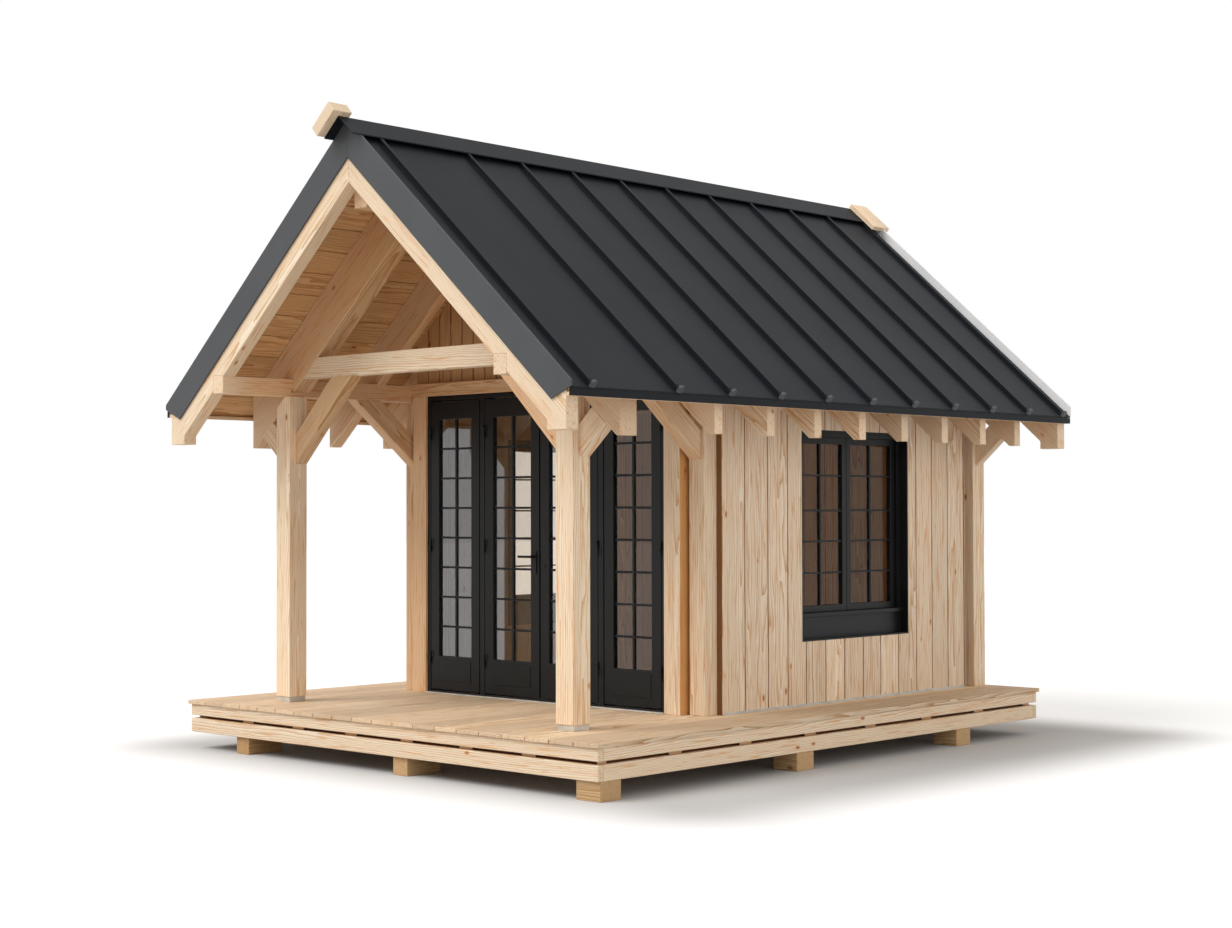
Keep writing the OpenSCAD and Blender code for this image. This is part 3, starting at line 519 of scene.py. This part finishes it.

# Packers in the shadow gap between the rims: rows from front to back, and deep boards that close the gap to
# sight behind the front, rear and right rims; dark brown wood in full painted shade stands in for the gap's
# shadow
packers = {"places": (-1.55, -0.52, 0.52), "wide": 70 * mm, "behind": 30 * mm, "hang": 45 * mm,
           "thick": 40 * mm, "clear": 0.5 * mm}
low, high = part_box("lower_rim")
bottom, top = high.z + packers["clear"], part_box("upper_rim")[0].z - packers["clear"]
inside = rimBoards["thick"] + packers["behind"]
deepBottom = high.z - packers["hang"]
bearers = slab(cleanCopy("lower_rim"), yAxis, low.y + inside, high.y - inside)
bearers = slab(bearers, xAxis, low.x + inside, high.x - inside)
spans = sorted((min(v.co.x for v in verts), max(v.co.x for v in verts)) for verts in islands(bearers))
bearers.free()
sides = [low.x + inside] + [side for span in spans for side in span] + [high.x - inside]
bm = bmesh.new()
for y in (low.y + inside, high.y - inside - packers["thick"]):
    for x0, x1 in zip(sides[0::2], sides[1::2]):  # between the bearers
        if x1 - x0 > packers["wide"]:
            addBox(bm, (x0 + mm, y, deepBottom), (x1 - mm, y + packers["thick"], top))
front, back = low.y + inside + packers["thick"] + mm, high.y - inside - packers["thick"] - mm
addBox(bm, (high.x - inside - packers["thick"], front, deepBottom), (high.x - inside, back, top))
for x in packers["places"]:
    addBox(bm, (x - packers["wide"] / 2, front, bottom), (x + packers["wide"] / 2, back, top))
bmesh.ops.recalc_face_normals(bm, faces=bm.faces)
softenEdges(bm, rimBoards["arris"])
runGrain(bm, (1.0, 1.0))
makePiece("deck_packers", bm, gapShadeWood, "shed")

# Deck: boards laid from front to back
deckBoards = {"count": 20, "gap": 6 * mm, "arris": 3 * mm}
low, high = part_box("deck")
cuts = evenCuts(low.x, high.x, deckBoards["count"])
deck = joined(boards(cleanCopy("deck"), xAxis, cuts, deckBoards["gap"]))
softenEdges(deck, deckBoards["arris"])
runGrain(deck)
makePiece("deck_boards", deck, deckSoftwood, "shed", ["deck"])
print("deck done")

# Roof boards: laid along the roof on the rafters, with dark gaps between them from below
soffit = {"count": 13, "gap": 5 * mm, "arris": 2.5 * mm, "eaveBelow": 0.3}
for node in ("roof_boards_right", "roof_boards_left"):
    whole = cleanCopy(node)
    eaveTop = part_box(node)[1].z - soffit["eaveBelow"]
    ridge = max((v.co for v in whole.verts), key=lambda c: c.z)
    eave = max((v.co for v in whole.verts if v.co.z < eaveTop), key=lambda c: (round(abs(c.x), 4), c.z))
    slope = Vector((eave.x - ridge.x, 0, eave.z - ridge.z)).normalized()
    places = [v.co.dot(slope) for v in whole.verts]
    cuts = evenCuts(min(places), max(places), soffit["count"])
    roof = joined(boards(whole, slope, cuts, soffit["gap"]))
    softenEdges(roof, soffit["arris"])
    runGrain(roof)
    makePiece(node + "_laid", roof, soffitBoarding, "shed", [node])

# Walls: a core between two skins of upright boards; the seams are where the long walls' boards begin and end,
# from front to back, and room is a point inside the cabin
wallBoards = {
    "skin": 8 * mm, "gap": 11 * mm, "arris": 1.5 * mm, "room": Vector((0, 0.5, 1.3)),
    "backCount": 14, "gableCount": 22,
    "seams": [-0.808, -0.592, -0.360, -0.158, 0.033, 0.242, 0.447,
              0.658, 0.856, 1.066, 1.282, 1.475, 1.671, 1.870]}


def clad(node, through, across, cuts, material):
    low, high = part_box(node)
    whole = cleanCopy(node)
    a, b, skin = low.dot(through), high.dot(through), wallBoards["skin"]
    core = slab(whole, through, a + skin, b - skin)
    laid = boards(whole, across, cuts, wallBoards["gap"])
    lowSkin = joined([slab(board, through, a - mm, a + skin) for board in laid])
    highSkin = joined([slab(board, through, b - skin, b + mm) for board in laid])
    room = wallBoards["room"].dot(through)
    outside, inside = (highSkin, lowSkin) if abs(b - room) > abs(a - room) else (lowSkin, highSkin)
    softenEdges(outside, wallBoards["arris"])
    softenEdges(inside, wallBoards["arris"])
    # the lining and the tongues take deeper woods as painted shade, inside the cabin and down in the joints
    for part, bm, finish, replaced in (("_boarding", outside, material, [node]),
                                       ("_lining", inside, soffitBoarding, ()),
                                       ("_tongues", core, gapShadeWood, ())):
        runGrain(bm)
        makePiece(node + part, bm, finish, "shed", replaced)


for node in ("right_wall", "left_wall"):
    clad(node, xAxis, yAxis, wallBoards["seams"], sawnBoarding)
for node, count, material in (("rear_wall", wallBoards["backCount"], sawnBoarding),
                              ("front_gable_wall", wallBoards["gableCount"], soffitBoarding)):
    low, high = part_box(node)
    clad(node, yAxis, xAxis, evenCuts(low.x, high.x, count), material)
print("roof boards and walls done")

# Sheet metal and joinery keep their CAD form, with folds and arrises in mm; the shortest edges stay sharp
dressed = {
    "shortest": 60 * mm,
    "finishes": {
        "roof_metal_left": (charcoalSteel, "roof_metal", 2.0),
        "roof_metal_right": (charcoalSteel, "roof_metal", 2.0),
        "ridge_cap": (charcoalSteel, "roof_metal", 1.5),
        "eaves_trim": (charcoalSteel, "roof_metal", 2.0),
        "front_verge_flashing": (greyFlashing, "verge_metal", 2.0),
        "rear_verge_flashing": (whiteFlashing, "pale_metal", 2.0),
        "post_shoes": (galvanisedSheet, "pale_metal", 2.0),
        "window_frames": (blackJoinery, "black_joinery", 2.0),
        "window_sashes": (blackJoinery, "black_joinery", 3.0),
        "door_frame": (blackJoinery, "black_joinery", 2.5),
        "outer_left_leaf": (blackJoinery, "black_joinery", 3.0),
        "inner_left_leaf": (blackJoinery, "black_joinery", 3.0),
        "inner_right_leaf": (blackJoinery, "black_joinery", 3.0),
        "outer_right_leaf": (blackJoinery, "black_joinery", 3.0)}}
for node, (material, slot, arris) in dressed["finishes"].items():
    form = cleanCopy(node)
    softenEdges(form, arris * mm, dressed["shortest"])
    makePiece(node + "_dressed", form, material, bodyOf[node], [node])

# Glass and the lever are the CAD solids themselves
asMade = {"window_glass": clearGlass, "outer_left_glass": mirrorGlass, "inner_left_glass": mirrorGlass,
          "inner_right_glass": mirrorGlass, "outer_right_glass": plainGlass, "door_handle": blackIron}
for node, material in asMade.items():
    nodes[node].data.materials.clear()
    nodes[node].data.materials.append(material)
print("metal, joinery and glass done")

glazingBar = {"shoulder": 0.35}  # share of a bar's depth at which it starts to narrow


def addBar(bm, start, end, across, out, base, top, deep):  # a glazing bar, narrower towards its face
    shoulder = deep * glazingBar["shoulder"]
    outline = ((-base / 2, 0), (-base / 2, shoulder), (-top / 2, deep),
               (top / 2, deep), (base / 2, shoulder), (base / 2, 0))
    addLength(bm, [[bm.verts.new(at + across * w + out * d) for w, d in outline] for at in (start, end)])


# Glazing bars on both faces of each door glass: two panes wide, eight high
doorBars = {"rows": 8, "upright": 18 * mm, "uprightFace": 16 * mm, "uprightDeep": 8 * mm,
            "cross": 15 * mm, "crossFace": 11 * mm, "crossDeep": 6 * mm}
for leaf in leaves:
    low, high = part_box(leaf + "_glass")
    bm = bmesh.new()
    middle, half = (low.x + high.x) / 2, doorBars["upright"] / 2
    for y, out in ((low.y, -yAxis), (high.y, yAxis)):
        addBar(bm, Vector((middle, y, low.z)), Vector((middle, y, high.z)), xAxis, out,
               doorBars["upright"], doorBars["uprightFace"], doorBars["uprightDeep"])
        for row in range(1, doorBars["rows"]):
            z = low.z + row * (high.z - low.z) / doorBars["rows"]
            for x0, x1 in ((low.x, middle - half), (middle + half, high.x)):
                addBar(bm, Vector((x0, y, z)), Vector((x1, y, z)), zAxis, out,
                       doorBars["cross"], doorBars["crossFace"], doorBars["crossDeep"])
    bmesh.ops.recalc_face_normals(bm, faces=bm.faces)
    makePiece(leaf + "_bars", bm, blackJoinery, leaf + "_door")

# Window bars: two panes wide and five high in each casement; the rows are shares of the glass's height
windowBars = {"rows": [0.199, 0.395, 0.587, 0.804], "upright": 19 * mm, "uprightFace": 16 * mm,
              "uprightDeep": 9 * mm, "cross": 13 * mm, "crossFace": 10 * mm, "crossDeep": 7 * mm}
glass = cleanCopy("window_glass")
bm = bmesh.new()
for verts in islands(glass):
    low = Vector(min(v.co[i] for v in verts) for i in range(3))
    high = Vector(max(v.co[i] for v in verts) for i in range(3))
    middle, half = (low.y + high.y) / 2, windowBars["upright"] / 2
    for x, out in ((low.x, -xAxis), (high.x, xAxis)):
        addBar(bm, Vector((x, middle, low.z)), Vector((x, middle, high.z)), yAxis, out,
               windowBars["upright"], windowBars["uprightFace"], windowBars["uprightDeep"])
        for share in windowBars["rows"]:
            z = low.z + share * (high.z - low.z)
            for y0, y1 in ((low.y, middle - half), (middle + half, high.y)):
                addBar(bm, Vector((x, y0, z)), Vector((x, y1, z)), zAxis, out,
                       windowBars["cross"], windowBars["crossFace"], windowBars["crossDeep"])
glass.free()
bmesh.ops.recalc_face_normals(bm, faces=bm.faces)
makePiece("window_bars", bm, blackJoinery, "shed")
print("glazing bars done")

# Fielded panel below each door glass, on both faces; half is from the middle of the leaf to its face
doorPanels = {"below": 170 * mm, "above": 24 * mm, "beside": 4 * mm, "proud": 3 * mm, "half": 22 * mm,
              "arris": 2.5 * mm, "shortest": 50 * mm}
for leaf in leaves:
    low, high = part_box(leaf + "_glass")
    middle, half, proud = (low.y + high.y) / 2, doorPanels["half"], doorPanels["proud"]
    x0, x1 = low.x + doorPanels["beside"], high.x - doorPanels["beside"]
    bottom, top = low.z - doorPanels["below"], low.z - doorPanels["above"]
    bm = bmesh.new()
    for y0, y1 in ((middle - half - proud, middle - half), (middle + half, middle + half + proud)):
        addBox(bm, (x0, y0, bottom), (x1, y1, top))
    bmesh.ops.recalc_face_normals(bm, faces=bm.faces)
    softenEdges(bm, doorPanels["arris"], doorPanels["shortest"])
    makePiece(leaf + "_panels", bm, blackJoinery, leaf + "_door")

# Keyhole rose on the inner right leaf: a turned disc with a sunk eye, as radius and height in mm
keyRose = {"atX": 46 * mm, "atZ": 1.225, "steps": 32,
           "turned": [(0, 1), (3.5, 1), (3.5, 4), (11, 4), (14, 2.5), (14, 0)]}
low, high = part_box("inner_right_glass")
face = (low.y + high.y) / 2 - doorPanels["half"]
angles = [2 * math.pi * i / keyRose["steps"] for i in range(keyRose["steps"])]
bm = bmesh.new()
rings = []
for radius, rise in keyRose["turned"]:
    r, y = radius * mm, face - rise * mm
    rings.append([bm.verts.new((keyRose["atX"] + r * math.cos(a), y, keyRose["atZ"] + r * math.sin(a)))
                  for a in (angles if r else angles[:1])])
for a, b in zip(rings, rings[1:]):
    for i in range(keyRose["steps"]):
        j = (i + 1) % keyRose["steps"]
        bm.faces.new((a[0], b[i], b[j]) if len(a) == 1 else (a[i], b[i], b[j], a[j]))
bm.faces.new(rings[-1])
bmesh.ops.recalc_face_normals(bm, faces=bm.faces)
makePiece("key_rose", bm, blackIron, "inner_right_door")

# Folded strip along the foot of each long wall
footStrip = {"up": 14 * mm, "out": 24 * mm, "thick": 2.5 * mm}
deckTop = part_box("deck")[1].z
up, out, thick = footStrip["up"], footStrip["out"], footStrip["thick"]
fold = [(0, 0), (out, 0), (out, thick), (thick * 2, thick), (thick, thick * 2), (thick, up), (0, up)]
for side, node in ((1, "right_wall"), (-1, "left_wall")):
    low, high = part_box(node)
    wall = max(abs(low.x), abs(high.x))
    bm = bmesh.new()
    addLength(bm, [[bm.verts.new((side * (wall + x), y, deckTop + z)) for x, z in fold]
                   for y in (low.y, high.y)])
    bmesh.ops.recalc_face_normals(bm, faces=bm.faces)
    makePiece(node + "_foot_strip", bm, galvanisedSheet, "shed")

# Sill strip under the doors, from the frame's face, which lies behind its hinge barrels
sillStrip = {"barrels": 14.5 * mm, "out": 26 * mm, "high": 9 * mm, "arris": 3 * mm, "ends": 2 * mm}
low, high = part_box("door_frame")
front = low.y + sillStrip["barrels"]
bm = bmesh.new()
addBox(bm, (low.x + sillStrip["ends"], front - sillStrip["out"], deckTop),
       (high.x - sillStrip["ends"], front, deckTop + sillStrip["high"]))
bmesh.ops.recalc_face_normals(bm, faces=bm.faces)
softenEdges(bm, sillStrip["arris"])
makePiece("door_sill_strip", bm, galvanisedSheet, "shed")

# Folded tab that closes the lower end of each standing seam; the outline is across and up, in mm
seamTabs = {"first": -2.448, "second": -1.728, "last": 2.488, "evenBays": 9, "lift": 8 * mm, "long": 16 * mm,
            "outline": [(-18, 0), (-18, 34), (-15, 41), (-9, 45), (9, 45), (15, 41), (18, 34), (18, 0)]}
seamPlaces = [seamTabs["first"]] + evenCuts(seamTabs["second"], seamTabs["last"], seamTabs["evenBays"])
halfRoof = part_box("roof_metal_right")[1].x
eaveZ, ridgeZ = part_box("eaves_trim")[1].z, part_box("roof_boards_right")[1].z
fall = Vector((halfRoof, 0, eaveZ - ridgeZ)).normalized()
for side, name in ((1, "seam_tabs_right"), (-1, "seam_tabs_left")):
    down = Vector((side * fall.x, 0, fall.z))
    up = Vector((side * -fall.z, 0, fall.x))
    foot = Vector((side * halfRoof, 0, eaveZ)) + up * seamTabs["lift"]
    bm = bmesh.new()
    for y in seamPlaces:
        addLength(bm, [[bm.verts.new(foot + yAxis * (y + across * mm) + up * (rise * mm) - down * back)
                        for across, rise in seamTabs["outline"]] for back in (0, seamTabs["long"])])
    bmesh.ops.recalc_face_normals(bm, faces=bm.faces)
    makePiece(name, bm, greyFlashing, "shed")
print("panels, strips and tabs done")

# Batten behind the eaves trim, under the edge of the roof boards
eavesBatten = {"wide": 22 * mm, "gap": 0.5 * mm, "below": 1 * mm, "high": 22 * mm, "arris": 2 * mm}
low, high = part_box("eaves_trim")
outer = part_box("roof_boards_right")[1].x - eavesBatten["gap"]
bm = bmesh.new()
for x0, x1 in ((outer - eavesBatten["wide"], outer), (-outer, eavesBatten["wide"] - outer)):
    addBox(bm, (x0, low.y + mm, low.z - eavesBatten["below"]), (x1, high.y - mm, low.z + eavesBatten["high"]))
bmesh.ops.recalc_face_normals(bm, faces=bm.faces)
softenEdges(bm, eavesBatten["arris"])
runGrain(bm)
makePiece("eaves_battens", bm, planedSpruce, "shed")
print("eaves battens done")

# Camera at the photograph's place, with its angles in degrees
view = {"at": (9.378, -10.2935, 1.603), "pitch": 1.27, "yaw": 42.99, "roll": 0.12,
        "lens": 58.37, "sensor": 36.0, "farthest": 200.0}
cameraData = bpy.data.cameras.new("camera")
cameraData.lens, cameraData.sensor_width = view["lens"], view["sensor"]
cameraData.clip_end = view["farthest"]
camera = bpy.data.objects.new("camera", cameraData)
camera.location = view["at"]
camera.rotation_euler = (math.radians(90 + view["pitch"]), 0, math.radians(view["yaw"]))
camera.rotation_euler.rotate_axis("Z", math.radians(-view["roll"]))
bpy.context.scene.collection.objects.link(camera)
bpy.context.scene.camera = camera

# Studio: white all round, one wide soft key from the front left and a weak broad lamp from the right; each
# has its strength, its angle in degrees and where it comes from
studio = {"fill": 0.52, "fillTint": "#fff8ef",
          "lamps": {"key": (2.1, 38, (-0.35, -0.8, 0.95)), "side": (0.75, 70, (0.95, -0.15, 0.4))}}


def metByEye(holder):  # 1 for what is seen straight, in a mirror or through glass, and 0 for diffuse light
    path = addNode(holder, "ShaderNodeLightPath").outputs
    seen = addNode(holder, "ShaderNodeMath", {"operation": "MAXIMUM"},
                   {0: path["Is Camera Ray"], 1: path["Is Glossy Ray"]})
    seen = addNode(holder, "ShaderNodeMath", {"operation": "MAXIMUM"},
                   {0: seen.outputs[0], 1: path["Is Transmission Ray"]})
    return seen.outputs[0]


world = bpy.data.worlds.new("studio")
bpy.context.scene.world = world
world.use_nodes = True
background = world.node_tree.nodes["Background"]
seen = metByEye(world)
strength = addNode(world, "ShaderNodeMapRange", {"To Min": studio["fill"], "To Max": 1.0}, {"Value": seen})
tint = addNode(world, "ShaderNodeMix", {"data_type": "RGBA", 6: linear(studio["fillTint"]), 7: white},
               {0: seen})
world.node_tree.links.new(tint.outputs[2], background.inputs["Color"])
world.node_tree.links.new(strength.outputs[0], background.inputs["Strength"])

for name, (energy, soft, source) in studio["lamps"].items():
    lampData = bpy.data.lights.new(name, "SUN")
    lampData.energy, lampData.angle = energy, math.radians(soft)
    lamp = bpy.data.objects.new(name, lampData)
    lamp.rotation_euler = Vector(source).to_track_quat("Z", "Y").to_euler()
    bpy.context.scene.collection.objects.link(lamp)

# Floor: matt white paper, lit to white in view away from the deck but keeping the shed's shadow; the glow is
# left off a painted shadow of that half size round the middle, which is set off to the right and back, and
# comes in over the fade, so the floor is darker near the shed
paper = {"colour": "#c4c4c4", "rough": 0.9, "size": 60, "glow": 0.5,
         "middle": (0.25, 0.1, 0), "paintedShadow": (2.15, 2.28, 0), "fade": 0.95}
floorPaper, floorShader = newMaterial("floorPaper", {
    "Base Color": linear(paper["colour"]), "Roughness": paper["rough"], "Emission Color": white})
place = addNode(floorPaper, "ShaderNodeTexCoord").outputs["Object"]
for operation, value in (("SUBTRACT", paper["middle"]), ("ABSOLUTE", (0, 0, 0)),
                         ("SUBTRACT", paper["paintedShadow"]), ("MAXIMUM", (0, 0, 0))):
    step = addNode(floorPaper, "ShaderNodeVectorMath", {"operation": operation, 1: value}, {0: place})
    place = step.outputs[0]
clear = addNode(floorPaper, "ShaderNodeVectorMath", {"operation": "LENGTH"}, {0: place}).outputs["Value"]
glowPastPaintedShadow = addNode(floorPaper, "ShaderNodeMapRange",
                    {"interpolation_type": "SMOOTHSTEP", "From Max": paper["fade"], "To Max": paper["glow"]},
                    {"Value": clear})
glow = addNode(floorPaper, "ShaderNodeMath", {"operation": "MULTIPLY"},
               {0: metByEye(floorPaper), 1: glowPastPaintedShadow.outputs[0]})
floorPaper.node_tree.links.new(glow.outputs[0], floorShader.inputs["Emission Strength"])
floorPaper.cycles.emission_sampling = "NONE"  # the glow is for the eye and lights nothing
floorForm = bmesh.new()
bmesh.ops.create_grid(floorForm, x_segments=1, y_segments=1, size=paper["size"])
floorMesh = bpy.data.meshes.new("floor")
floorForm.to_mesh(floorMesh)
floorForm.free()
floorMesh.materials.append(floorPaper)
floor = bpy.data.objects.new("floor", floorMesh)
bpy.context.scene.collection.objects.link(floor)

bpy.context.scene.view_settings.view_transform = "Standard"
bpy.context.view_layer.update()
print("scene done")
